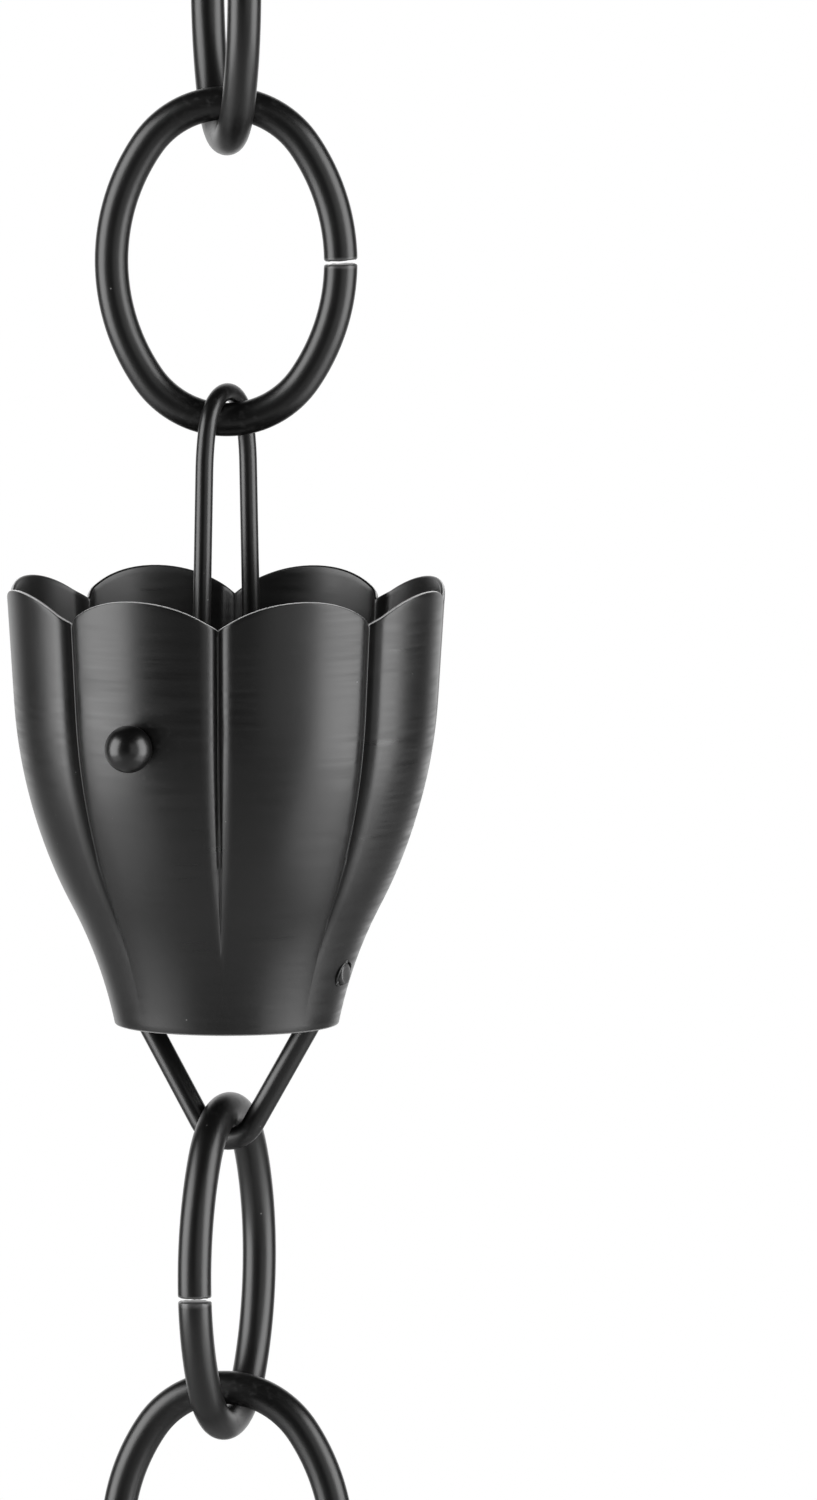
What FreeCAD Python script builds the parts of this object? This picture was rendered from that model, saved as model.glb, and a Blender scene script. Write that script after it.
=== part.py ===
import FreeCAD, Part
import math
import os

# A length of rain chain: open oval links of round wire and tulip cups of thin sheet, each hung on the
# piece above it. The origin is the hang point, where a hook bears on the inside of the top link. +Z is up,
# and the chain hangs down from it. +X runs to the right and +Y away from the viewer. All lengths are in
# millimetres.

# Links
link_wire = 6.0
link_width = 47.0            # outside, across the loop
link_height = 62.5           # outside, along the chain
link_end_radius = 17.0       # of the wire's centre line at the top and bottom of the loop
link_cut = 0.6               # open cut in one long side
contact_gap = 0.3            # running gap where one piece bears on another

# Cups
petal_count = 8
cup_height = 79.0            # bottom edge to petal tips
cup_wall = 0.9               # sheet thickness
foot_radius = 20.0           # at the bottom edge
flare_height = 21.6          # where the foot's hollow curve turns into the round shoulder
shoulder_height = 58.5       # where the shoulder runs into the straight upper wall
foot_lean = 12.5             # lean of the wall from upright at each of those places, in degrees
flare_lean = 28.3
wall_lean = 3.65
petal_offset = 11.4          # how far a petal's arc is centred off the cup's axis, at the rim
rim_dip = 5.1                # depth of the scallops between petal tips
groove_depth = 1.4           # pressed grooves between petals
groove_width = 1.2           # outside
ridge_width = 2.4            # of the ridge that a groove raises inside
groove_foot = 13.0           # height where the grooves run out
cup_sections = 9

# Hangers: wire hairpins whose feet pass out through the wall into ball ends
hanger_wire = 3.2
hanger_rise = 35.8           # top of the hairpin above the petal tips
hanger_apex_radius = 8.4     # of the centre line
hanger_shoulder_radius = 32.0
hanger_shoulder_lean = 16.0  # where the apex meets the gentler shoulder, in degrees from upright
hanger_leg_lean = 2.5
hanger_foot_bend = 8.0
pivot_drop = 26.0            # feet below the petal tips
knob_diameter = 8.4
knob_seat = 6.8              # flat on the ball that faces the wall
knob_fit = 0.02              # radial, wire in the ball
foot_clearance = 0.08        # radial, wire in the wall's holes

# Ties: V-shaped wires below the cups, their ends turned out through the wall
tie_wire = 4.0
tie_drop = 22.8              # lowest point below the cup's bottom edge
tie_vertex_radius = 6.0      # of the centre line
tie_arm_lean = 31.0
tie_knee_height = 1.0        # where the arms bend up along the wall, above the bottom edge
tie_knee_bend = 8.0
tie_foot_height = 10.0
tie_foot_bend = 2.6
tie_inset = 2.6              # elbow inside the wall
tie_proud = 0.7              # wire ends beyond the wall
end_rounding = 0.5           # on the wires' cut ends

half_pitch = 180.0 / petal_count
pivot_height = cup_height - pivot_drop
up = FreeCAD.Vector(0, 0, 1)
out = FreeCAD.Vector(1, 0, 0)
origin = FreeCAD.Vector(0, 0, 0)


def sin(degrees):
    return math.sin(math.radians(degrees))


def cos(degrees):
    return math.cos(math.radians(degrees))


def tan(degrees):
    return math.tan(math.radians(degrees))


# A point in the upright plane that each wire is bent in
def at(across, height):
    return FreeCAD.Vector(across, 0, height)


# A point on a circle in that plane, by its angle from the level
def on_circle(centre, radius, angle):
    return centre + at(radius * cos(angle), radius * sin(angle))


def arc(centre, radius, start, end):
    middle = on_circle(centre, radius, (start + end) / 2)
    return Part.Arc(on_circle(centre, radius, start), middle, on_circle(centre, radius, end)).toShape()


def mirrored(point):
    return at(-point.x, point.z)


# Round wire along a path of tangent edges, with its cut ends rounded
def bent_wire(edges, diameter, rounding):
    spine = Part.Wire(edges)
    first = spine.OrderedEdges[0]
    start = first.firstVertex(True).Point
    section = Part.Circle(start, first.tangentAt(first.FirstParameter), diameter / 2)
    solid = spine.makePipe(Part.Face(Part.Wire(section.toShape())))
    rims = [face.Edges[0] for face in solid.Faces if face.Surface.TypeId == "Part::GeomPlane"]
    return solid.makeFillet(rounding, rims)


# Straight runs between corners, with a tangent arc of the given radius at each corner
def rounded_path(points, radii):
    edges = []
    start = points[0]
    for before, corner, after, radius in zip(points, points[1:], points[2:], radii):
        back = (before - corner).normalize()
        ahead = (after - corner).normalize()
        half_turn = back.getAngle(ahead) / 2
        reach = radius / math.tan(half_turn)
        middle = corner + (back + ahead).normalize() * (radius / math.sin(half_turn) - radius)
        edges.append(Part.LineSegment(start, corner + back * reach).toShape())
        edges.append(Part.Arc(corner + back * reach, middle, corner + ahead * reach).toShape())
        start = corner + ahead * reach
    edges.append(Part.LineSegment(start, points[-1]).toShape())
    return edges


# A four-centred oval of round wire about the origin, cut open on its +X side at the given height
def open_link(cut_height):
    half_height = (link_height - link_wire) / 2
    half_width = (link_width - link_wire) / 2
    rise = half_height - link_end_radius
    side_reach = half_width - link_end_radius
    side_radius = (rise ** 2 + half_width ** 2 - link_end_radius ** 2) / (2 * side_reach)
    set_back = side_radius - half_width
    joint = math.degrees(math.atan2(rise, set_back))
    cut = math.degrees(math.asin(cut_height / side_radius))
    half_cut = math.degrees(link_cut / 2 / side_radius)
    edges = [
        arc(at(-set_back, 0), side_radius, cut + half_cut, joint),
        arc(at(0, rise), link_end_radius, joint, 180 - joint),
        arc(at(set_back, 0), side_radius, 180 - joint, 180 + joint),
        arc(at(0, -rise), link_end_radius, 180 + joint, 360 - joint),
        arc(at(-set_back, 0), side_radius, -joint, cut - half_cut),
    ]
    return bent_wire(edges, link_wire, end_rounding)


# The cup's outer radius at the middle of a petal, and the wall's lean there: a hollow foot arc, a round
# shoulder arc and a straight upper wall, each tangent to the next
def wall_at(height):
    foot_arc = flare_height / (sin(flare_lean) - sin(foot_lean))
    shoulder_arc = (shoulder_height - flare_height) / (sin(flare_lean) - sin(wall_lean))
    if height <= flare_height:
        lean = math.degrees(math.asin(sin(foot_lean) + height / foot_arc))
        return foot_radius + foot_arc * (cos(foot_lean) - cos(lean)), lean
    flare_radius = foot_radius + foot_arc * (cos(foot_lean) - cos(flare_lean))
    if height <= shoulder_height:
        lean = math.degrees(math.asin(sin(flare_lean) - (height - flare_height) / shoulder_arc))
        return flare_radius + shoulder_arc * (cos(lean) - cos(flare_lean)), lean
    shoulder_radius = flare_radius + shoulder_arc * (cos(wall_lean) - cos(flare_lean))
    return shoulder_radius + (height - shoulder_height) * tan(wall_lean), wall_lean


# The wall's inner radius at the middle of a petal
def bore_at(height):
    radius, lean = wall_at(height)
    return radius - cup_wall / cos(lean)


# How far a form that starts at one height has grown at another, from 0 to 1 at the shoulder
def grown(height, start):
    return sin(90 * min(max((height - start) / (shoulder_height - start), 0), 1))


# One level section of the cup: petals as arcs about their own centres, with a V between each two
def petal_ring(height, radius, valley_width):
    centre_offset = petal_offset * grown(height, 0)
    arc_radius = radius - centre_offset

    # how far the petal's arc lies from the cup's axis, at an angle from the petal's middle
    def petal_reach(angle):
        sway = centre_offset * sin(angle)
        return centre_offset * cos(angle) + math.sqrt(arc_radius ** 2 - sway ** 2)

    edge = petal_reach(half_pitch)
    lip_angle = half_pitch - math.degrees(valley_width / 2 / edge)
    lip = petal_reach(lip_angle)
    valley = edge - groove_depth * grown(height, groove_foot)

    def point(distance, angle):
        return FreeCAD.Vector(distance * cos(angle), distance * sin(angle), height)

    edges = []
    for petal in range(petal_count):
        middle = petal * 2 * half_pitch
        start = point(lip, middle - lip_angle)
        end = point(lip, middle + lip_angle)
        bottom = point(valley, middle + half_pitch)
        next_start = point(lip, middle + 2 * half_pitch - lip_angle)
        edges.append(Part.Arc(start, point(radius, middle), end).toShape())
        edges.append(Part.LineSegment(end, bottom).toShape())
        edges.append(Part.LineSegment(bottom, next_start).toShape())
    return Part.Wire(edges)


# What a scallop takes away: an upright face between two petals' rim arcs, pushed out along the radius
def scallop(angle):
    rim_radius, lean = wall_at(cup_height)
    half_span = (rim_radius + cup_wall) * sin(half_pitch)
    rim_arc = (half_span ** 2 + rim_dip ** 2) / (2 * rim_dip)
    opening = math.degrees(math.asin(half_span / rim_arc))
    notch = FreeCAD.Vector(0, 0, cup_height - rim_dip)

    def on_rim(side, turn):
        sway = half_span - rim_arc * sin(turn)
        return FreeCAD.Vector(0, side * sway, cup_height - rim_arc * (1 - cos(turn)))

    left_end = on_rim(-1, 0)
    right_end = on_rim(1, 0)
    above = up * rim_dip
    edges = [
        Part.Arc(left_end, on_rim(-1, opening / 2), notch).toShape(),
        Part.Arc(notch, on_rim(1, opening / 2), right_end).toShape(),
        Part.LineSegment(right_end, right_end + above).toShape(),
        Part.LineSegment(right_end + above, left_end + above).toShape(),
        Part.LineSegment(left_end + above, left_end).toShape(),
    ]
    tool = Part.Face(Part.Wire(edges)).extrude(out * rim_radius)
    tool.translate(out * rim_radius / 2)
    tool.rotate(origin, up, angle)
    return tool


# A hole right through the cup, level, at the given height and direction
def cross_hole(height, radius, direction):
    reach, lean = wall_at(cup_height)
    return Part.makeCylinder(radius, 2 * reach, up * height - direction * reach, direction)


# The cup about its own axis, standing on its bottom edge, with the knobs' axis along X and the tie's
# along Y
def tulip_cup():
    heights = [cup_height * step / (cup_sections - 1) for step in range(cup_sections)]
    outside = Part.makeLoft([petal_ring(h, wall_at(h)[0], groove_width) for h in heights], True)
    inside = Part.makeLoft([petal_ring(h, bore_at(h), ridge_width) for h in heights], True)
    cuts = [scallop((2 * petal + 1) * half_pitch) for petal in range(petal_count)]
    cuts.append(cross_hole(pivot_height, hanger_wire / 2 + foot_clearance, out))
    cuts.append(cross_hole(tie_foot_height, tie_wire / 2 + foot_clearance, FreeCAD.Vector(0, 1, 0)))
    return outside.cut(inside).cut(cuts)


# The flat of a knob stands clear of the wall's widest point below it, and the ball's centre follows from
# its flat
knob_face = wall_at(pivot_height + knob_seat / 2)[0] + contact_gap
knob_centre = knob_face + math.sqrt(knob_diameter ** 2 - knob_seat ** 2) / 2


def ball_knob(side):
    centre = at(knob_centre, pivot_height)
    ball = Part.makeSphere(knob_diameter / 2, centre)
    flat = Part.makeCylinder(knob_diameter, knob_diameter, at(knob_face - knob_diameter, pivot_height), out)
    socket_depth = knob_centre - knob_face
    socket = Part.makeCylinder(hanger_wire / 2 + knob_fit, socket_depth, at(knob_face, pivot_height), out)
    knob = ball.cut([flat, socket])
    if side < 0:
        knob.rotate(origin, up, 180)
    return knob


# The hairpin in the cup's X plane: a three-centred arch, two leaning legs and two feet turned out to the
# knobs
def hanger():
    apex_centre = at(0, cup_height + hanger_rise - hanger_wire / 2 - hanger_apex_radius)
    shift = hanger_shoulder_radius - hanger_apex_radius
    right_centre = on_circle(apex_centre, -shift, hanger_shoulder_lean)
    leg_top = on_circle(right_centre, hanger_shoulder_radius, hanger_leg_lean)
    leg_foot = at(leg_top.x + (leg_top.z - pivot_height) * tan(hanger_leg_lean), pivot_height)
    foot_end = at(knob_centre, pivot_height)
    right_leg = rounded_path([leg_top, leg_foot, foot_end], [hanger_foot_bend])
    left_leg = rounded_path([mirrored(foot_end), mirrored(leg_foot), mirrored(leg_top)], [hanger_foot_bend])
    leg, shoulder = hanger_leg_lean, hanger_shoulder_lean
    arch = [
        arc(mirrored(right_centre), hanger_shoulder_radius, 180 - leg, 180 - shoulder),
        arc(apex_centre, hanger_apex_radius, 180 - shoulder, shoulder),
        arc(right_centre, hanger_shoulder_radius, shoulder, leg),
    ]
    return bent_wire(left_leg + arch + right_leg, hanger_wire, end_rounding)


# The V in the cup's Y plane: a rounded vertex, two straight arms, a riser along the wall and two ends
# turned out
def tie():
    vertex_centre = at(0, tie_wire / 2 + tie_vertex_radius - tie_drop)
    arm_foot = on_circle(vertex_centre, tie_vertex_radius, -tie_arm_lean)
    knee = at(arm_foot.x + (tie_knee_height - arm_foot.z) * tan(tie_arm_lean), tie_knee_height)
    elbow = at(bore_at(tie_foot_height) - tie_inset, tie_foot_height)
    wire_end = at(wall_at(tie_foot_height)[0] + tie_proud, tie_foot_height)
    right = [arm_foot, knee, elbow, wire_end]
    bends = [tie_knee_bend, tie_foot_bend]
    left_arm = rounded_path([mirrored(point) for point in reversed(right)], bends[::-1])
    vertex = [arc(vertex_centre, tie_vertex_radius, 180 + tie_arm_lean, 360 - tie_arm_lean)]
    wire = bent_wire(left_arm + vertex + rounded_path(right, bends), tie_wire, end_rounding)
    wire.rotate(origin, up, 90)
    return wire


def write(node, shape, turn, height):
    placed = shape.copy()
    placed.rotate(origin, up, turn)
    placed.translate(up * height)
    placed.exportStep("parts/" + node + ".step")


# Hang a link with the top of its opening at the given height, and return the bottom of the opening.
# cut_side is 1 where the cut is on the side that the turn carries from +X, and -1 on the other.
def hang_link(number, top, turn, cut_side, cut_height):
    opening = link_height - 2 * link_wire
    half_turn = 0 if cut_side > 0 else 180
    write("link_" + str(number), open_link(cut_height), turn + half_turn, top - opening / 2)
    return top - opening + contact_gap


# Hang a cup by its hairpin, and return the bottom of the opening above its V
def hang_cup(name, top, turn, knob_names):
    foot = top + hanger_wire - hanger_rise - cup_height
    write(name + "_hanger", hanger(), turn, foot)
    for knob_name, side in zip(knob_names, (-1, 1)):
        write(name + "_knob_" + knob_name, ball_knob(side), turn, foot)
    write(name + "_cup", tulip_cup(), turn, foot)
    write(name + "_tie", tie(), turn, foot)
    return foot - tie_drop + tie_wire + contact_gap


os.makedirs("parts", exist_ok=True)

# The chain from the top down, each piece turned about the vertical as it hangs
level = 0
level = hang_link(1, level, turn=56, cut_side=1, cut_height=0)
level = hang_link(2, level, turn=-62, cut_side=-1, cut_height=-8.6)
level = hang_cup("upper", level, turn=4.6, knob_names=("left", "right"))
level = hang_link(3, level, turn=10, cut_side=-1, cut_height=4)
level = hang_link(4, level, turn=-76, cut_side=1, cut_height=9)
level = hang_link(5, level, turn=29, cut_side=1, cut_height=0)
level = hang_link(6, level, turn=-81.3, cut_side=-1, cut_height=2.6)
level = hang_link(7, level, turn=-6, cut_side=1, cut_height=0)
level = hang_cup("lower", level, turn=64.6, knob_names=("front", "back"))
level = hang_link(8, level, turn=73, cut_side=-1, cut_height=-3.5)
level = hang_link(9, level, turn=-16, cut_side=-1, cut_height=2)
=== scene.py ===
import bpy
import bmesh
from math import asin, atan2, cos, degrees, hypot, pi, radians, sin, sqrt, tan
from mathutils import Matrix, Vector, noise


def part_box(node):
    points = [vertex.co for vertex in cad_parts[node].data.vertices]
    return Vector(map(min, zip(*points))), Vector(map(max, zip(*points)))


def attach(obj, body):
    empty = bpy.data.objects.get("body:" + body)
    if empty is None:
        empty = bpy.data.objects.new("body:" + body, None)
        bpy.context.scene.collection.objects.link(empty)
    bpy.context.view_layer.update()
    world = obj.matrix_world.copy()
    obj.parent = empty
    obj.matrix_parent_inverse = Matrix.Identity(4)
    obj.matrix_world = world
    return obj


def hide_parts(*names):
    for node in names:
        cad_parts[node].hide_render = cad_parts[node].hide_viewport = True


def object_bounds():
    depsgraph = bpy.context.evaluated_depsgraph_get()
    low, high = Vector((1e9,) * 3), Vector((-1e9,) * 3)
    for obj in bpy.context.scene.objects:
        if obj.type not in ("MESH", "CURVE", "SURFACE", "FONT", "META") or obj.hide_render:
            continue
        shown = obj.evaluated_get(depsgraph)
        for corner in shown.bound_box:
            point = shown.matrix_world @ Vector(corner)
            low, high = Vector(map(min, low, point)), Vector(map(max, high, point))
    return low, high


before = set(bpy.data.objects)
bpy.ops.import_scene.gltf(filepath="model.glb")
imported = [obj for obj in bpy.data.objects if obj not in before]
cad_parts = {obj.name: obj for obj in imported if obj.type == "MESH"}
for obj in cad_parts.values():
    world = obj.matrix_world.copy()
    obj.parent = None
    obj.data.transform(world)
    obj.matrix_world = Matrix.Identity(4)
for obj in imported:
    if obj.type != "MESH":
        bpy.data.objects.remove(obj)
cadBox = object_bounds()

# pieces are made in millimetres and degrees, and the stage in metres and degrees
mm = 0.001
upright = Vector((0, 0, 1))
weld = 0.0005  # points nearer than this are one point
fewSides = 8  # a flat end has more sides than this, and no other face has


def sinOf(angle):
    return sin(radians(angle))


def cosOf(angle):
    return cos(radians(angle))


# Shader maths: a link is one output socket, and the operators on it add Math nodes
class Link:
    def __init__(self, tree, out):
        self.tree = tree
        self.out = out

    def node(self, kind, settings, values, out=0):
        made = self.tree.nodes.new(kind)
        for key, value in settings.items():
            setattr(made, key, value)
        for key, value in values.items():
            if isinstance(value, Link):
                self.tree.links.new(value.out, made.inputs[key])
            else:
                made.inputs[key].default_value = value
        return Link(self.tree, made.outputs[out] if made.outputs else None)

    def maths(self, operation, first, second):
        return self.node("ShaderNodeMath", {"operation": operation}, {0: first, 1: second})

    def __add__(self, other):
        return self.maths("ADD", self, other)

    def __radd__(self, other):
        return self.maths("ADD", other, self)

    def __sub__(self, other):
        return self.maths("SUBTRACT", self, other)

    def __rsub__(self, other):
        return self.maths("SUBTRACT", other, self)

    def __mul__(self, other):
        return self.maths("MULTIPLY", self, other)

    def __rmul__(self, other):
        return self.maths("MULTIPLY", other, self)

    # 0 below low, 1 above high, and smooth between
    def rise(self, low, high):
        limits = {"From Min": low, "From Max": high}
        smooth = {"interpolation_type": "SMOOTHSTEP"}
        return self.node("ShaderNodeMapRange", smooth, {"Value": self} | limits)

    def noise(self, scale, detail):
        values = {"Vector": self, "Scale": scale, "Detail": detail}
        return self.node("ShaderNodeTexNoise", {}, values, "Fac")

    def stretched(self, scale):
        return self.node("ShaderNodeVectorMath", {"operation": "MULTIPLY"}, {0: self, 1: scale})

    # one colour where this share is 0, the other where it is 1
    def colours(self, low, high):
        return self.node("ShaderNodeMix", {"data_type": "RGBA"}, {0: self, 6: low, 7: high}, 2)

    # another output of the node that this link comes from
    def beside(self, out):
        return Link(self.tree, self.out.node.outputs[out])


def grey(value, warmth=0.0):
    return (value * (1 + warmth), value, value * (1 - warmth), 1)


# scales are per metre, peelDepth and the reliefs in metres, dustSize in cells of the dust's own scale
coatLook = {
    "tone": 0.0026,
    "toneSpread": 0.2,
    "warmth": 0.02,
    "ior": 1.6,
    "roughness": 0.34,
    "cloudScale": 110.0,
    "cloudDetail": 3.0,
    "cloudDepth": 0.08,
    "cloudRelief": 0.00002,
    "peelScale": 1500.0,
    "peelDetail": 2.0,
    "peelDepth": 0.000004,
    "streakStretch": (55.0, 55.0, 1000.0),
    "streakDetail": 1.5,
    "streakDepth": 0.0,
    "streakRelief": 0.0,
    "patchScale": 24.0,
    "patchDetail": 1.0,
    "patchRange": (0.42, 0.62),
    "dustScale": 300.0,
    "dustShare": 0.22,
    "dustBlend": 0.02,
    "dustSize": 0.055,
    "dustCore": 0.5,
    "dustTone": 0.2,
    "dustRoughness": 0.3,
    "rubDust": 0.35,
    "scuffScale": 900.0,
    "scuffDetail": 4.0,
    "scuffRange": (0.52, 0.7),
    "scuffShare": 0.5,
    "scuffTone": 0.05,
    "scuffRoughness": 0.12,
    # painted highlight: light grey mixed into the coat where the edge mask lies, standing for the glint on
    # rounded edges
    "edgeHighlightTone": 0.6,
    "edgeGloss": 0.1,
}


# Satin black coat: fine orange peel, cloudy gloss, faint streaks, dust, rubbed contacts, and a painted
# highlight on edges: a light grey mixed in where the edge mask marks rims, foot and cut ends
def satinCoat(name, look):
    coat = bpy.data.materials.new(name)
    coat.use_nodes = True
    tree = coat.node_tree
    tree.nodes.clear()
    place = Link(tree, None).node("ShaderNodeTexCoord", {}, {}, "Object")
    rub = place.node("ShaderNodeAttribute", {"attribute_name": "rub"}, {}, "Fac")
    # the edge mask that places the painted highlight
    edge = place.node("ShaderNodeAttribute", {"attribute_name": "edge"}, {}, "Fac")

    cloud = place.noise(look["cloudScale"], look["cloudDetail"])
    peel = place.noise(look["peelScale"], look["peelDetail"])
    streak = place.stretched(look["streakStretch"]).noise(1.0, look["streakDetail"]) - 0.5
    streak = streak * place.noise(look["patchScale"], look["patchDetail"]).rise(*look["patchRange"])

    cells = {"Vector": place, "Scale": look["dustScale"]}
    toSpeck = place.node("ShaderNodeTexVoronoi", {}, cells, "Distance")
    chance = place.node("ShaderNodeSeparateColor", {}, {"Color": toSpeck.beside("Color")}, "Red")
    clean = 1.0 - look["dustShare"]
    dusty = (chance + rub * look["rubDust"]).rise(clean, clean + look["dustBlend"])
    dust = (1 - toSpeck.rise(look["dustSize"] * look["dustCore"], look["dustSize"])) * dusty

    scuff = place.noise(look["scuffScale"], look["scuffDetail"]).rise(*look["scuffRange"]) * rub

    dark = grey(look["tone"] * (1 - look["toneSpread"]), look["warmth"])
    pale = grey(look["tone"] * (1 + look["toneSpread"]), look["warmth"])
    tone = cloud.colours(dark, pale)
    tone = (scuff * look["scuffShare"]).colours(tone, grey(look["scuffTone"]))
    # painted highlight: rims, foot and cut ends are lightened towards this grey by the edge mask
    tone = edge.colours(tone, grey(look["edgeHighlightTone"]))
    tone = dust.colours(tone, grey(look["dustTone"]))

    rough = look["roughness"] + (cloud - 0.5) * look["cloudDepth"] + streak * look["streakDepth"]
    rough = rough + scuff * look["scuffRoughness"] - edge * look["edgeGloss"] + dust * look["dustRoughness"]

    relief = peel * look["peelDepth"] + streak * look["streakRelief"] + cloud * look["cloudRelief"]
    bump = place.node("ShaderNodeBump", {}, {"Strength": 1.0, "Distance": 1.0, "Height": relief}, "Normal")

    inputs = {"IOR": look["ior"], "Base Color": tone, "Roughness": rough, "Normal": bump}
    shader = place.node("ShaderNodeBsdfPrincipled", {}, inputs)
    place.node("ShaderNodeOutputMaterial", {}, {"Surface": shader})
    return coat


def cleaned(mesh):
    bmesh.ops.remove_doubles(mesh, verts=mesh.verts[:], dist=weld)
    bmesh.ops.recalc_face_normals(mesh, faces=mesh.faces[:])
    return mesh


def asObject(mesh, name):
    data = bpy.data.meshes.new(name)
    mesh.to_mesh(data)
    mesh.free()
    made = bpy.data.objects.new(name, data)
    bpy.context.scene.collection.objects.link(made)
    return made


# A new piece stands for one CAD node: mesh made in millimetres about the node's own axis, then hung in place
def hang(mesh, node, body, coat, turn, height, smoothBelow=38):
    cleaned(mesh)
    turned = Matrix.Rotation(radians(turn), 4, "Z") @ Matrix.Scale(mm, 4)
    lifted = Matrix.Translation((0, 0, height * mm)) @ turned
    bmesh.ops.transform(mesh, matrix=lifted, verts=mesh.verts[:])
    for face in mesh.faces:
        face.smooth = True
    piece = asObject(mesh, node + "_coated")
    piece.data.set_sharp_from_angle(angle=radians(smoothBelow))
    piece.data.materials.append(coat)
    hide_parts(node)
    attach(piece, body)


# Round wire bent in the upright XZ plane, as on a bending bench: straight runs and bends from one end
class Wire:
    burrsPerRadius = 2

    def __init__(self, diameter, start, heading, around):
        self.mesh = bmesh.new()
        # mask for the painted highlight on the cut ends' rounded rims
        self.edge = self.mesh.verts.layers.float.new("edge")
        self.radius = diameter / 2
        self.spot = Vector((start[0], 0, start[1]))
        self.heading = heading
        facing = self.ahead().to_track_quat("Z", "Y").to_matrix().to_4x4()
        first = bmesh.ops.create_circle(
            self.mesh, segments=around, radius=self.radius, matrix=Matrix.Translation(self.spot) @ facing)
        self.ring = first["verts"]
        self.firstRing = list(self.ring)
        self.firstAhead = self.ahead()

    def ahead(self):
        return Vector((cosOf(self.heading), 0, sinOf(self.heading)))

    def left(self):
        return Vector((-self.ahead().z, 0, self.ahead().x))

    def ringEdges(self):
        verts = set(self.ring)
        edges = dict.fromkeys(edge for vert in self.ring for edge in vert.link_edges)
        return [edge for edge in edges if verts.issuperset(edge.verts)]

    def run(self, length, step=1.5):
        steps = max(1, round(length / step))
        for _ in range(steps):
            grown = bmesh.ops.extrude_edge_only(self.mesh, edges=self.ringEdges())["geom"]
            self.ring = [g for g in grown if isinstance(g, bmesh.types.BMVert)]
            bmesh.ops.translate(self.mesh, vec=self.ahead() * (length / steps), verts=self.ring)
        self.spot = self.spot + self.ahead() * length

    # to the left by a positive angle, to the right by a negative one
    def bend(self, radius, angle, step=0.8):
        side = 1 if angle > 0 else -1
        centre = self.spot + self.left() * radius * side
        steps = max(2, round(abs(radians(angle)) * radius / step))
        spun = bmesh.ops.spin(
            self.mesh, geom=self.ring + self.ringEdges(), cent=centre, axis=(0, -1, 0),
            angle=radians(angle), steps=steps)
        self.ring = [g for g in spun["geom_last"] if isinstance(g, bmesh.types.BMVert)]
        self.heading += angle
        self.spot = centre - self.left() * radius * side

    # straight runs between corners with a bend at each, up to the last point
    def follow(self, corners, radii):
        for corner, after, radius in zip(corners, corners[1:], radii):
            toCorner = Vector((corner[0], 0, corner[1])) - self.spot
            away = Vector((after[0] - corner[0], 0, after[1] - corner[1]))
            turn = degrees(atan2(away.z, away.x)) - self.heading
            turn = (turn + 180) % 360 - 180
            self.run(toCorner.length - radius * tan(radians(abs(turn)) / 2))
            self.bend(radius, turn)
        last = Vector((corners[-1][0], 0, corners[-1][1]))
        self.run((last - self.spot).length)

    # the two cut ends: leaning and ragged where the shears bit, rims rounded and marked for a painted
    # highlight, a chisel line across if asked
    def close(self, rounding, lean=0.0, burr=0.0, chisel=0.0, edgeHighlight=0.1):
        tilt = Matrix.Rotation(radians(lean), 3, "Y")
        ends = []
        for ring, outward in ((self.firstRing, -self.firstAhead), (self.ring, self.ahead())):
            middle = sum((vert.co for vert in ring), Vector()) / len(ring)
            bmesh.ops.rotate(self.mesh, cent=middle, matrix=tilt, verts=ring)
            ends.append((middle, outward))
        rims = [edge for edge in self.mesh.edges if edge.is_boundary]
        bmesh.ops.holes_fill(self.mesh, edges=rims, sides=0)
        rounded = bmesh.ops.bevel(
            self.mesh, geom=rims, offset=rounding, offset_type="OFFSET", segments=4, profile=0.5,
            affect="EDGES", material=-1)
        # the rounded rims get the edge mask, which paints a highlight into the coat's colour
        for vert in {vert for face in rounded["faces"] for vert in face.verts}:
            vert[self.edge] = edgeHighlight
            outward = min(ends, key=lambda end: (vert.co - end[0]).length)[1]
            vert.co -= outward * burr * abs(noise.noise(vert.co / self.radius * self.burrsPerRadius))
        if chisel:
            for middle, outward in ends:
                self.chiselEnd(middle, outward * chisel, rounding)
        return self.mesh

    # a flat end pinched up to a slanting line across the middle, as side cutters leave it
    def chiselEnd(self, middle, rise, inset):
        flats = [face for face in self.mesh.faces if len(face.verts) > fewSides]
        flat = min(flats, key=lambda face: (face.calc_center_median() - middle).length)
        bmesh.ops.inset_region(self.mesh, faces=[flat], thickness=inset)
        verts = flat.verts[:]
        eighth, half = len(verts) // 8, len(verts) // 2
        along = (verts[eighth].co - verts[eighth + half].co).normalized()
        centre = flat.calc_center_median()
        bmesh.ops.delete(self.mesh, geom=[flat], context="FACES_ONLY")
        for vert in verts:
            vert.co = centre + along * (vert.co - centre).dot(along) + rise
        bmesh.ops.remove_doubles(self.mesh, verts=verts, dist=2 * weld)


# The coat is rubbed where pieces bear on each other: points are marked by their distance from the contacts
def markRub(mesh, contacts, reach):
    rub = mesh.verts.layers.float.new("rub")
    for vert in mesh.verts:
        near = min((vert.co - Vector(contact)).length for contact in contacts)
        vert[rub] = max(0.0, 1.0 - near / reach)


linkShape = {
    "wire": 6.0,
    "around": 40,
    "width": 47.0,
    "height": 62.5,
    "endRadius": 17.0,
    "cut": 0.6,
    "rounding": 0.35,
    "burr": 0.35,
    "rubReach": 13.0,
}
# each link's turn about the vertical, the side of its cut, the cut's height and its lean
linkHang = {
    "link_1": (56, 1, 0, 2.5),
    "link_2": (-62, -1, -8.6, -3),
    "link_3": (10, -1, 4, 3),
    "link_4": (-76, 1, 9, -2),
    "link_5": (29, 1, 0, 3),
    "link_6": (-81.3, -1, 2.6, -3),
    "link_7": (-6, 1, 0, -3),
    "link_8": (73, -1, -3.5, -6),
    "link_9": (-16, -1, 2, 2.5),
}


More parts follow.
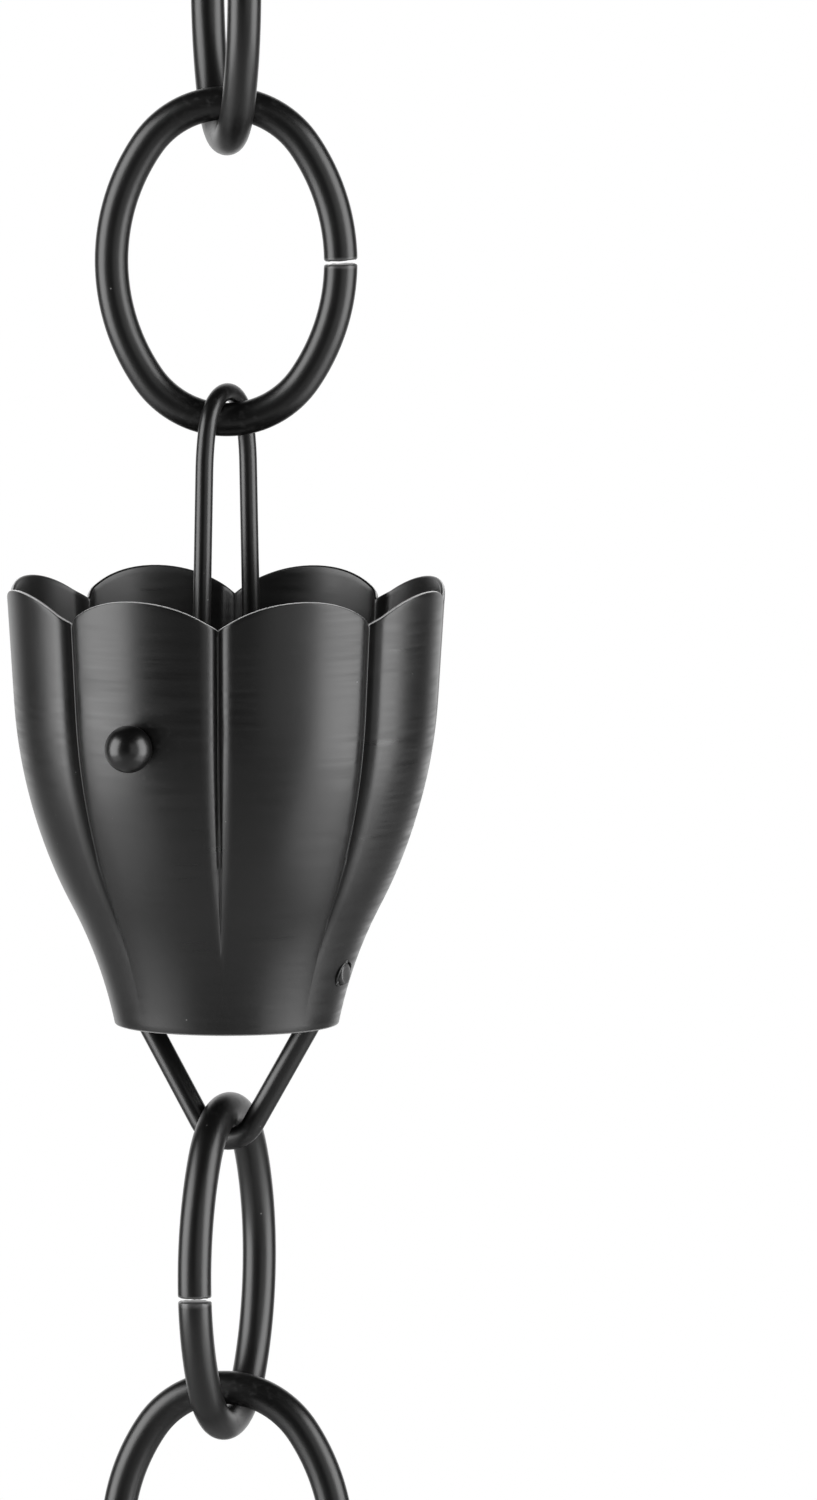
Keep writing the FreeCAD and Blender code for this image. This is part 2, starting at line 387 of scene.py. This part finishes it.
# each link is wound from its cut: up round one end, down the other side, round the other end and back
def makeLinks(shape):
    coat = satinCoat("linkSatin", coatLook)
    halfHeight = (shape["height"] - shape["wire"]) / 2
    halfWidth = (shape["width"] - shape["wire"]) / 2
    endRadius = shape["endRadius"]
    rise = halfHeight - endRadius
    sideRadius = (rise ** 2 + halfWidth ** 2 - endRadius ** 2) / (2 * (halfWidth - endRadius))
    setBack = sideRadius - halfWidth
    joint = degrees(atan2(rise, setBack))
    bearing = halfHeight - shape["wire"] / 2
    for node, (turn, cutSide, cutHeight, cutLean) in linkHang.items():
        cut = degrees(asin(cutHeight / sideRadius))
        halfCut = degrees(shape["cut"] / 2 / sideRadius)
        begin = cut + halfCut
        start = (sideRadius * cosOf(begin) - setBack, sideRadius * sinOf(begin))
        wire = Wire(shape["wire"], start, begin + 90, shape["around"])
        wire.bend(sideRadius, joint - begin)
        wire.bend(endRadius, 180 - 2 * joint)
        wire.bend(sideRadius, 2 * joint)
        wire.bend(endRadius, 180 - 2 * joint)
        wire.bend(sideRadius, joint + cut - halfCut)
        mesh = wire.close(shape["rounding"], cutLean, shape["burr"])
        markRub(mesh, [(0, 0, bearing), (0, 0, -bearing)], shape["rubReach"])
        low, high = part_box(node)
        height = (low.z + high.z) / 2 / mm
        hang(mesh, node, node, coat, turn if cutSide > 0 else turn + 180, height)
    print("links:", len(linkHang))


cupShape = {
    "petals": 8,
    "height": 79.0,
    "wall": 0.9,
    "footRadius": 20.0,
    "flareHeight": 21.6,
    "shoulderHeight": 58.5,
    "footLean": 12.5,
    "flareLean": 28.3,
    "wallLean": 3.65,
    "petalOffset": 11.4,
    "rimDip": 5.1,
    "scallopFade": 6,  # power of the height by which the scallops die out below the rim
    "creaseFoot": 12.0,
    "rollReach": 3.0,
    "rollFoot": 0.35,  # share of that reach at a crease's lower end
    "rollDrop": 1.3,
    "slitReach": 0.8,
    "slitDepth": 0.24,
    "ridgeReach": 2.6,
    "ridgeDrop": 1.1,
    "rows": 76,
    "petalColumns": 44,
    "crowding": 2.2,  # how closely the columns stand at the creases
    "rimRounding": 0.42,
    "rimSegments": 5,
    # painted highlight on the rim's and foot's roundings: how strongly the edge mask lightens the coat
    # there, and over what share
    "rimHighlight": 1.0,
    "rimHighlightReach": 0.4,  # share of the rounding, from the top
    "rimHighlightDepth": 0.5,  # share of the wall, from outside
    "footRounding": 0.3,
    "footSegments": 2,
    "footHighlight": 0.55,
    "footHighlightReach": 0.5,
    "tieHoleHeight": 10.0,
    "tieHoleRadius": 2.08,
    "lipRadius": 2.3,
    "lipThickness": 0.3,
    "pivotDrop": 26.0,
    "pivotHoleRadius": 1.68,
    "drillLength": 120.0,
    "rubReach": 9.0,
    "coat": {"streakDepth": 0.3, "streakRelief": 0.0000035, "cloudRelief": 0.00004},
}
# each cup's turn about the vertical: its hanger turns with it, and its tie stands across
cupHang = {"upper": 4.6, "lower": 64.6}


# outer radius at the middle of a petal, and the wall's lean there
def wallAt(height, shape):
    foot, flare, top = shape["footLean"], shape["flareLean"], shape["wallLean"]
    footArc = shape["flareHeight"] / (sinOf(flare) - sinOf(foot))
    shoulderArc = (shape["shoulderHeight"] - shape["flareHeight"]) / (sinOf(flare) - sinOf(top))
    if height <= shape["flareHeight"]:
        lean = degrees(asin(sinOf(foot) + height / footArc))
        return shape["footRadius"] + footArc * (cosOf(foot) - cosOf(lean)), lean
    flareRadius = shape["footRadius"] + footArc * (cosOf(foot) - cosOf(flare))
    if height <= shape["shoulderHeight"]:
        lean = degrees(asin(sinOf(flare) - (height - shape["flareHeight"]) / shoulderArc))
        return flareRadius + shoulderArc * (cosOf(lean) - cosOf(flare)), lean
    shoulderRadius = flareRadius + shoulderArc * (cosOf(top) - cosOf(flare))
    return shoulderRadius + (height - shape["shoulderHeight"]) * tan(radians(top)), top


# 0 below the start, 1 above the shoulder, and along a quarter of a sine between
def grown(height, start, shape):
    share = (height - start) / (shape["shoulderHeight"] - start)
    return sinOf(90 * min(max(share, 0), 1))


# distance from the cup's axis to a petal's own arc
def petalReach(angle, height, radius, shape):
    offset = shape["petalOffset"] * grown(height, 0, shape)
    return offset * cosOf(angle) + sqrt((radius - offset) ** 2 - (offset * sinOf(angle)) ** 2)


# the crease between petals, outside: rolled edges that come down on a fine bead, with a slit each side
def creaseDepth(away, growth, shape):
    halfWidth = shape["rollReach"] * (shape["rollFoot"] + (1 - shape["rollFoot"]) * growth)
    slitReach = shape["slitReach"] * growth
    roll = max(0.0, 1 - max(away, slitReach / 2) / halfWidth)
    slit = (1 - cos(2 * pi * away / slitReach)) / 2 if away < slitReach else 0.0
    return growth * (shape["rollDrop"] * roll ** 2 + shape["slitDepth"] * slit)


# and inside: a rounded ridge
def ridgeDepth(away, growth, shape):
    return growth * shape["ridgeDrop"] * (1 + cos(pi * min(1.0, away / shape["ridgeReach"]))) / 2


# A plain sleeve of sheet with a rounded rim and foot
def cupSleeve(shape, radius):
    mesh = bmesh.new()
    wall, tall = shape["wall"], shape["height"]
    stand = Matrix.Translation((radius - wall / 2, 0, tall / 2)) @ Matrix.Rotation(pi / 2, 4, "X")
    bmesh.ops.create_grid(
        mesh, x_segments=1, y_segments=1, size=0.5, matrix=stand @ Matrix.Diagonal((wall, tall, 1, 1)))
    rim = (True, shape["rimRounding"], shape["rimSegments"])
    foot = (False, shape["footRounding"], shape["footSegments"])
    for atRim, rounding, segments in (rim, foot):
        corners = [vert for vert in mesh.verts if (vert.co.z > tall / 2) == atRim]
        bmesh.ops.bevel(
            mesh, geom=corners, offset=rounding, offset_type="OFFSET", segments=segments, profile=0.5,
            affect="VERTICES", material=-1)
    bmesh.ops.delete(mesh, geom=mesh.faces[:], context="FACES_ONLY")
    sides = [edge for edge in mesh.edges if edge.calc_length() > tall / 2]
    bmesh.ops.subdivide_edges(mesh, edges=sides, cuts=shape["rows"])
    columns = shape["petals"] * shape["petalColumns"]
    bmesh.ops.spin(
        mesh, geom=mesh.verts[:] + mesh.edges[:], cent=(0, 0, 0), axis=upright, angle=2 * pi,
        steps=columns, use_merge=True)
    bmesh.ops.remove_doubles(mesh, verts=mesh.verts[:], dist=weld)
    return mesh


# the sleeve pressed into the tulip: petals, creases and the scalloped rim
def pressedCup(shape):
    wall, tall = shape["wall"], shape["height"]
    sleeveRadius = 2 * shape["footRadius"]
    mesh = cupSleeve(shape, sleeveRadius)
    # edge mask for the painted highlight on rim and foot
    edge = mesh.verts.layers.float.new("edge")
    pitch = 360 / shape["petals"]
    rimRadius = wallAt(tall, shape)[0] + wall
    halfSpan = rimRadius * sinOf(pitch / 2)
    rimArc = (halfSpan ** 2 + shape["rimDip"] ** 2) / (2 * shape["rimDip"])
    rimHighlightAbove = 1 - shape["rimHighlightReach"] * shape["rimRounding"] / tall
    footHighlightBelow = shape["footHighlightReach"] * shape["footRounding"] / tall
    for vert in mesh.verts:
        around = degrees(atan2(vert.co.y, vert.co.x))
        depth = (sleeveRadius - hypot(vert.co.x, vert.co.y)) / wall
        level = vert.co.z / tall
        petal = round(around / pitch)
        share = (around - petal * pitch) / (pitch / 2)
        crowded = 1 - (1 - min(abs(share), 1)) ** shape["crowding"]
        share = crowded if share > 0 else -crowded
        angle = share * pitch / 2
        sway = min(halfSpan - rimRadius * sinOf(pitch / 2 - abs(angle)), halfSpan)
        drop = rimArc - sqrt(rimArc ** 2 - sway ** 2)
        height = tall * level - drop * max(level, 0) ** shape["scallopFade"]
        radius, lean = wallAt(height, shape)
        outside = petalReach(angle, height, radius, shape)
        inside = petalReach(angle, height, radius - wall / cosOf(lean), shape)
        growth = grown(height, shape["creaseFoot"], shape)
        aside = radians(pitch / 2 - abs(angle))
        outside -= creaseDepth(outside * aside, growth, shape)
        inside -= ridgeDepth(inside * aside, growth, shape)
        reach = outside + (inside - outside) * depth
        turned = radians(petal * pitch + angle)
        # paint a highlight on the outer top of the rim and on the foot's rounding
        if level > rimHighlightAbove and depth < shape["rimHighlightDepth"]:
            vert[edge] = shape["rimHighlight"]
        elif level < footHighlightBelow:
            vert[edge] = shape["footHighlight"]
        vert.co = Vector((reach * cos(turned), reach * sin(turned), height))
    return mesh


# what goes on at the tie holes: a turned-out lip round each
def cupLips(shape):
    mesh = bmesh.new()
    radius, lean = wallAt(shape["tieHoleHeight"], shape)
    lift = Matrix.Translation((0, radius, shape["tieHoleHeight"]))
    seat = lift @ Matrix.Rotation(radians(-90 - lean), 4, "X")
    for half in range(2):
        ring = bmesh.ops.create_circle(
            mesh, segments=16, radius=shape["lipThickness"],
            matrix=Matrix.Translation((shape["lipRadius"], 0, 0)) @ Matrix.Rotation(pi / 2, 4, "X"))
        edges = list(dict.fromkeys(edge for vert in ring["verts"] for edge in vert.link_edges))
        before = set(mesh.verts) - set(ring["verts"])
        bmesh.ops.spin(
            mesh, geom=ring["verts"] + edges, cent=(0, 0, 0), axis=upright, angle=2 * pi, steps=48,
            use_merge=True)
        added = [vert for vert in mesh.verts if vert not in before]
        bmesh.ops.transform(mesh, matrix=Matrix.Rotation(pi * half, 4, "Z") @ seat, verts=added)
    return mesh


# what is drilled out: one pair of holes for the tie's ends and one for the hanger's feet
def cupHoles(shape):
    mesh = bmesh.new()
    tieHole = Matrix.Translation((0, 0, shape["tieHoleHeight"])) @ Matrix.Rotation(pi / 2, 4, "X")
    pivot = shape["height"] - shape["pivotDrop"]
    pivotHole = Matrix.Translation((0, 0, pivot)) @ Matrix.Rotation(pi / 2, 4, "Y")
    for radius, place in ((shape["tieHoleRadius"], tieHole), (shape["pivotHoleRadius"], pivotHole)):
        bmesh.ops.create_cone(
            mesh, cap_ends=True, segments=48, radius1=radius, radius2=radius, depth=shape["drillLength"],
            matrix=place)
    return mesh


def makeCups(shape):
    coat = satinCoat("cupSatin", coatLook | shape["coat"])
    pivot = shape["height"] - shape["pivotDrop"]
    pivotRadius = wallAt(pivot, shape)[0]
    for name, turn in cupHang.items():
        node = name + "_cup"
        cup = asObject(cleaned(pressedCup(shape)), node + "_pressed")
        lips = asObject(cleaned(cupLips(shape)), "lips")
        holes = asObject(cleaned(cupHoles(shape)), "holes")
        for tool, operation in ((lips, "UNION"), (holes, "DIFFERENCE")):
            cutter = cup.modifiers.new(operation, "BOOLEAN")
            cutter.operation = operation
            cutter.object = tool
            cutter.solver = "EXACT"
        graph = bpy.context.evaluated_depsgraph_get()
        finished = bpy.data.meshes.new_from_object(cup.evaluated_get(graph))
        mesh = bmesh.new()
        mesh.from_mesh(finished)
        for gone in (cup, lips, holes):
            bpy.data.objects.remove(gone)
        markRub(mesh, [(pivotRadius, 0, pivot), (-pivotRadius, 0, pivot)], shape["rubReach"])
        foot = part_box(node)[0].z / mm
        hang(mesh, node, node, coat, turn, foot)
    print("cups:", len(cupHang))


hangerShape = {
    "wire": 3.2,
    "around": 32,
    "rise": 35.8,
    "apexRadius": 8.4,
    "shoulderRadius": 32.0,
    "shoulderLean": 16.0,
    "legLean": 2.5,
    "footBend": 8.0,
    "rounding": 0.3,
    "rubReach": 10.0,
    "knob": 8.4,
    "knobSeat": 6.8,
    "knobGap": 0.3,
    "knobRounding": 0.35,
    "socket": 1.62,
    "coat": {"roughness": 0.33},
    "knobCoat": {"roughness": 0.29, "cloudRelief": 0.00001},
}
knobNames = {"upper": ("left", "right"), "lower": ("front", "back")}


# a ball with a flat towards the wall and a socket for the wire's foot
def ballKnob(shape, seat, centre, pivot, side):
    mesh = bmesh.new()
    lay = Matrix.Translation((centre, 0, pivot)) @ Matrix.Rotation(pi / 2, 4, "Y")
    bmesh.ops.create_uvsphere(mesh, u_segments=64, v_segments=40, radius=shape["knob"] / 2, matrix=lay)
    bmesh.ops.bisect_plane(
        mesh, geom=mesh.verts[:] + mesh.edges[:] + mesh.faces[:], plane_co=(seat, 0, pivot),
        plane_no=(-1, 0, 0), clear_outer=True)
    rim = [edge for edge in mesh.edges if edge.is_boundary]
    bmesh.ops.holes_fill(mesh, edges=rim, sides=0)
    rounding = shape["knobRounding"]
    bmesh.ops.bevel(
        mesh, geom=rim, offset=rounding, offset_type="OFFSET", segments=3, profile=0.5, affect="EDGES",
        material=-1)
    flat = [face for face in mesh.faces if len(face.verts) > fewSides]
    bmesh.ops.inset_region(mesh, faces=flat, thickness=shape["knobSeat"] / 2 - rounding - shape["socket"])
    deep = bmesh.ops.extrude_face_region(mesh, geom=flat)["geom"]
    bmesh.ops.delete(mesh, geom=flat, context="FACES")
    bottom = [g for g in deep if isinstance(g, bmesh.types.BMVert)]
    bmesh.ops.translate(mesh, vec=(centre - seat, 0, 0), verts=bottom)
    if side < 0:
        bmesh.ops.rotate(mesh, cent=(0, 0, 0), matrix=Matrix.Rotation(pi, 3, "Z"), verts=mesh.verts[:])
    return mesh


def makeHangers(shape, cup):
    coat = satinCoat("hangerSatin", coatLook | shape["coat"])
    knobCoat = satinCoat("knobSatin", coatLook | shape["knobCoat"])
    pivot = cup["height"] - cup["pivotDrop"]
    knobFace = wallAt(pivot + shape["knobSeat"] / 2, cup)[0] + shape["knobGap"]
    knobCentre = knobFace + sqrt(shape["knob"] ** 2 - shape["knobSeat"] ** 2) / 2
    apexHeight = cup["height"] + shape["rise"] - shape["wire"] / 2 - shape["apexRadius"]
    shift = shape["shoulderRadius"] - shape["apexRadius"]
    centreX = -shift * cosOf(shape["shoulderLean"])
    centreZ = apexHeight - shift * sinOf(shape["shoulderLean"])
    legTop = (centreX + shape["shoulderRadius"] * cosOf(shape["legLean"]),
              centreZ + shape["shoulderRadius"] * sinOf(shape["legLean"]))
    legFoot = (legTop[0] + (legTop[1] - pivot) * tan(radians(shape["legLean"])), pivot)
    arch = shape["shoulderLean"] - shape["legLean"]
    bearing = cup["height"] + shape["rise"] - shape["wire"]
    for name, turn in cupHang.items():
        node = name + "_hanger"
        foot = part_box(name + "_cup")[0].z / mm
        wire = Wire(shape["wire"], (-knobCentre, pivot), 0, shape["around"])
        wire.follow([(-legFoot[0], pivot), (-legTop[0], legTop[1])], [shape["footBend"]])
        wire.bend(shape["shoulderRadius"], -arch)
        wire.bend(shape["apexRadius"], -(180 - 2 * shape["shoulderLean"]))
        wire.bend(shape["shoulderRadius"], -arch)
        wire.follow([legFoot, (knobCentre, pivot)], [shape["footBend"]])
        mesh = wire.close(shape["rounding"])
        markRub(mesh, [(0, 0, bearing)], shape["rubReach"])
        hang(mesh, node, node, coat, turn, foot)
        for side, word in zip((-1, 1), knobNames[name]):
            knob = ballKnob(shape, knobFace, knobCentre, pivot, side)
            hang(knob, name + "_knob_" + word, node, knobCoat, turn, foot)
    print("hangers:", len(cupHang), "with two knobs each")


tieShape = {
    "wire": 4.0,
    "around": 36,
    "drop": 22.8,
    "vertexRadius": 6.0,
    "armLean": 31.0,
    "kneeHeight": 1.0,
    "kneeBend": 8.0,
    "footBend": 2.6,
    "inset": 2.6,
    "proud": 0.7,
    "rounding": 0.4,
    "chisel": 0.2,
    "smoothBelow": 24,
    "rubReach": 9.0,
    "coat": {"roughness": 0.33},
}


def makeTies(shape, cup):
    coat = satinCoat("tieSatin", coatLook | shape["coat"])
    lean = shape["armLean"]
    vertexHeight = shape["wire"] / 2 + shape["vertexRadius"] - shape["drop"]
    armFoot = (shape["vertexRadius"] * cosOf(lean), vertexHeight - shape["vertexRadius"] * sinOf(lean))
    kneeReach = armFoot[0] + (shape["kneeHeight"] - armFoot[1]) * tan(radians(lean))
    knee = (kneeReach, shape["kneeHeight"])
    hole = cup["tieHoleHeight"]
    radius, wallLean = wallAt(hole, cup)
    elbow = (radius - cup["wall"] / cosOf(wallLean) - shape["inset"], hole)
    wireEnd = (radius + shape["proud"], hole)
    bends = [shape["footBend"], shape["kneeBend"]]
    for name, turn in cupHang.items():
        node = name + "_tie"
        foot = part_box(name + "_cup")[0].z / mm
        wire = Wire(shape["wire"], (-wireEnd[0], wireEnd[1]), 0, shape["around"])
        wire.follow([(-elbow[0], elbow[1]), (-knee[0], knee[1]), (-armFoot[0], armFoot[1])], bends)
        wire.bend(shape["vertexRadius"], 180 - 2 * lean)
        wire.follow([knee, elbow, wireEnd], bends[::-1])
        mesh = wire.close(shape["rounding"], chisel=shape["chisel"])
        markRub(mesh, [(0, 0, shape["wire"] - shape["drop"])], shape["rubReach"])
        hang(mesh, node, node, coat, turn + 90, foot, shape["smoothBelow"])
    print("ties:", len(cupHang))


makeLinks(linkShape)
makeCups(cupShape)
makeHangers(hangerShape, cupShape)
makeTies(tieShape, cupShape)

stage = {
    "floorDrop": 0.6,
    "floorSize": 1.5,
    "floorTone": 0.5,
    "floorGlow": 0.7,
    "floorFade": (0.4, 0.9),  # shares of the floor's size
    "roomTone": 0.025,
    "backTone": 1.25,
    "backRange": (0.66, 0.92),  # of a direction's share towards the back
    "belowTone": 0.35,
    "belowRange": (0.05, 0.5),  # of a direction's share downwards
}


# A pale floor that keeps the shadow near the chain and fades to white further out
def makeFloor(look):
    mesh = bmesh.new()
    level = cadBox[0].z - look["floorDrop"]
    lowered = Matrix.Translation((0, 0, level))
    bmesh.ops.create_circle(mesh, cap_ends=True, segments=96, radius=look["floorSize"], matrix=lowered)
    floor = asObject(mesh, "floor")
    paint = bpy.data.materials.new("paleFloor")
    paint.use_nodes = True
    tree = paint.node_tree
    tree.nodes.clear()
    place = Link(tree, None).node("ShaderNodeTexCoord", {}, {}, "Object")
    cameraRay = place.node("ShaderNodeLightPath", {}, {}, "Is Camera Ray")
    plain = place.node("ShaderNodeBsdfDiffuse", {}, {"Color": grey(look["floorTone"])})
    glow = place.node("ShaderNodeEmission", {}, {"Color": grey(1.0), "Strength": look["floorGlow"]})
    white = place.node("ShaderNodeEmission", {}, {"Color": grey(1.0), "Strength": 1.0})
    shadowed = place.node("ShaderNodeAddShader", {}, {0: plain, 1: glow})
    flat = place.stretched((1.0, 1.0, 0.0))
    out = place.node("ShaderNodeVectorMath", {"operation": "LENGTH"}, {0: flat}, "Value")
    fade = out.rise(*(share * look["floorSize"] for share in look["floorFade"]))
    seen = place.node("ShaderNodeMixShader", {}, {0: fade, 1: shadowed, 2: white})
    result = place.node("ShaderNodeMixShader", {}, {0: cameraRay, 1: plain, 2: seen})
    place.node("ShaderNodeOutputMaterial", {}, {"Surface": result})
    floor.data.materials.append(paint)


# A white backdrop to the camera; to reflections, a dim room with the backdrop behind and the floor below
def makeWorld(look):
    world = bpy.data.worlds.new("studio")
    bpy.context.scene.world = world
    world.use_nodes = True
    tree = world.node_tree
    tree.nodes.clear()
    toward = Link(tree, None).node("ShaderNodeTexCoord", {}, {}, "Generated")
    cameraRay = toward.node("ShaderNodeLightPath", {}, {}, "Is Camera Ray")
    back = toward.node("ShaderNodeSeparateXYZ", {}, {"Vector": toward}, "Y")
    behind = back.rise(*look["backRange"])
    below = (0 - back.beside("Z")).rise(*look["belowRange"])
    level = look["roomTone"] + behind * (look["backTone"] - look["roomTone"])
    level = level.maths("MAXIMUM", level, below * look["belowTone"])
    seen = toward.maths("MAXIMUM", cameraRay, cameraRay.beside("Is Transmission Ray"))
    level = level * (1 - seen) + seen
    light = toward.node("ShaderNodeBackground", {}, {"Color": grey(1.0), "Strength": level})
    toward.node("ShaderNodeOutputWorld", {}, {"Surface": light})


# soft boxes placed round the chain: azimuth from the camera's side, to the right; glow is their brightness
lamps = {
    "leftBox": {"azimuth": -75.5, "height": 0.11, "away": 1.5, "size": (1.3, 1.9), "glow": 4.5},
    "rightBox": {"azimuth": 73.5, "height": 0.11, "away": 1.5, "size": (1.2, 1.9), "glow": 4.3},
    "frontScrim": {"azimuth": 28, "height": 0.2, "away": 2.4, "size": (1.7, 2.2), "glow": 0.6},
    "leftBounce": {"azimuth": -68, "height": -0.74, "away": 0.85, "size": (0.8, 0.45), "glow": 0.45},
    "rightBounce": {"azimuth": 66, "height": -0.74, "away": 0.85, "size": (0.8, 0.45), "glow": 1.2},
}


def makeLamps(looks):
    middle = (cadBox[0] + cadBox[1]) / 2
    for name, look in looks.items():
        lamp = bpy.data.lights.new(name, "AREA")
        lamp.shape = "RECTANGLE"
        lamp.size, lamp.size_y = look["size"]
        lamp.energy = pi * lamp.size * lamp.size_y * look["glow"]
        box = bpy.data.objects.new(name, lamp)
        away = Vector((sinOf(look["azimuth"]), -cosOf(look["azimuth"]), 0)) * look["away"]
        spot = middle + away + upright * look["height"]
        facing = (spot - middle).to_track_quat("Z", "Y").to_matrix().to_4x4()
        box.matrix_world = Matrix.Translation(spot) @ facing
        box.visible_camera = False
        bpy.context.scene.collection.objects.link(box)


# the close-up's viewpoint, before the lower cup and a little above it, in millimetres, degrees and pixels
cameraLook = {
    "spot": (-29.9, -3200.0, -222.9),
    "yaw": 1.117,
    "pitch": 5.73,
    "focalPixels": 18010.0,
    "tallPixels": 1500.0,
    "filmHeight": 24.0,
}


def makeCamera(look):
    lens = bpy.data.cameras.new("camera")
    lens.sensor_fit = "VERTICAL"
    lens.sensor_height = look["filmHeight"]
    lens.lens = look["filmHeight"] * look["focalPixels"] / look["tallPixels"]
    camera = bpy.data.objects.new("camera", lens)
    level = Matrix.Rotation(radians(-look["yaw"]), 4, "Z")
    turn = level @ Matrix.Rotation(radians(90 - look["pitch"]), 4, "X")
    camera.matrix_world = Matrix.Translation(Vector(look["spot"]) * mm) @ turn
    bpy.context.scene.collection.objects.link(camera)
    bpy.context.scene.camera = camera


makeFloor(stage)
makeWorld(stage)
makeLamps(lamps)
makeCamera(cameraLook)
bpy.context.scene.view_settings.view_transform = "Standard"
print("stage: floor, world, lamps and camera")
